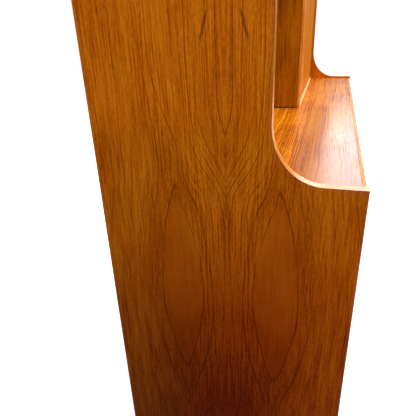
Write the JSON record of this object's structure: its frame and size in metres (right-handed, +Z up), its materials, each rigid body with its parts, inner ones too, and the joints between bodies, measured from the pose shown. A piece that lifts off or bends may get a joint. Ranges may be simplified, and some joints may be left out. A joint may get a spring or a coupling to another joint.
{
  "type": "secretary desk",
  "caption": "Teak secretary desk: a deep chest of drawers with a shallower upper cabinet of open book bay and fold-down writing flap, on splayed legs.",
  "frame": {"origin": "on the floor, below the middle of the whole footprint, knobs included", "axes": "+X across the width to the right as seen from the front, +Y to the back, +Z up"},
  "size_m": [1.13, 0.439, 1.19],
  "materials": {
    "teak_veneer": "satin lacquered teak veneer, warm orange-brown with figured grain",
    "teak_solid": "satin solid teak edge strips, knobs and legs, lighter than the veneer",
    "beech": "plain clear-lacquered beech",
    "plywood": "thin plywood, unpolished",
    "brass": "aged satin brass",
    "steel": "zinc plated steel",
    "nylon": "dark brown nylon"
  },
  "bodies": {
    "case": {"side_panel_left": "teak_veneer", "side_panel_right": "teak_veneer", "top_board": "teak_veneer", "ledge_board": "teak_veneer", "bottom_board": "teak_veneer", "upper_divider": "teak_veneer", "adjustable_shelf": "teak_veneer", "letter_shelf": "teak_veneer", "letter_partition_1": "teak_veneer", "letter_partition_2": "teak_veneer", "upper_back": "teak_veneer", "side_lipping_left": "teak_solid", "side_lipping_right": "teak_solid", "top_lipping": "teak_solid", "ledge_lipping": "teak_solid", "bottom_lipping": "teak_solid", "divider_lipping": "teak_solid", "leg_cleat_left": "teak_solid", "leg_cleat_right": "teak_solid", "leg_front_left": "teak_solid", "leg_front_right": "teak_solid", "leg_back_left": "teak_solid", "leg_back_right": "teak_solid", "lower_back": "plywood", "case_dowels": "beech", "drawer_runners_left": "beech", "drawer_runners_right": "beech", "shelf_pins": "brass", "hinge_case_leaf": "brass", "hinge_pin": "brass", "stay_stud": "brass", "flap_catch": "brass", "back_screws": "steel", "leg_bolts": "steel", "foot_glides": "nylon"},
    "flap": {"flap_panel": "teak_veneer", "flap_lipping": "teak_solid", "flap_knob": "teak_solid", "hinge_flap_leaf": "brass", "stay_bracket": "brass"},
    "stay": {"stay_arm": "brass"},
    "drawer_1": {"drawer_1_front": "teak_veneer", "drawer_1_side_left": "beech", "drawer_1_side_right": "beech", "drawer_1_back": "beech", "drawer_1_bottom": "plywood", "drawer_1_knobs": "teak_solid"},
    "drawer_2": {"drawer_2_front": "teak_veneer", "drawer_2_side_left": "beech", "drawer_2_side_right": "beech", "drawer_2_back": "beech", "drawer_2_bottom": "plywood", "drawer_2_knobs": "teak_solid"},
    "drawer_3": {"drawer_3_front": "teak_veneer", "drawer_3_side_left": "beech", "drawer_3_side_right": "beech", "drawer_3_back": "beech", "drawer_3_bottom": "plywood", "drawer_3_knobs": "teak_solid"}
  },
  "joints": [
    {"name": "flap_hinge", "type": "hinge", "parent": "case", "child": "flap", "pos_m": [0.2785, -0.0583, 0.7378], "axis": [1, 0, 0], "range_deg": [0, 90]},
    {"name": "stay_pivot", "type": "hinge", "parent": "flap", "child": "stay", "pos_m": [0.54525, -0.0313, 0.8648], "axis": [1, 0, 0], "range_deg": [-45, 0]},
    {"name": "drawer_1_slide", "type": "slide", "parent": "case", "child": "drawer_1", "axis": [0, -1, 0], "range_m": [0, 0.3]},
    {"name": "drawer_2_slide", "type": "slide", "parent": "case", "child": "drawer_2", "axis": [0, -1, 0], "range_m": [0, 0.3]},
    {"name": "drawer_3_slide", "type": "slide", "parent": "case", "child": "drawer_3", "axis": [0, -1, 0], "range_m": [0, 0.3]}
  ],
  "couplings": [
    {"joint": "stay_pivot", "follows": "flap_hinge", "ratio": -0.5}
  ]
}
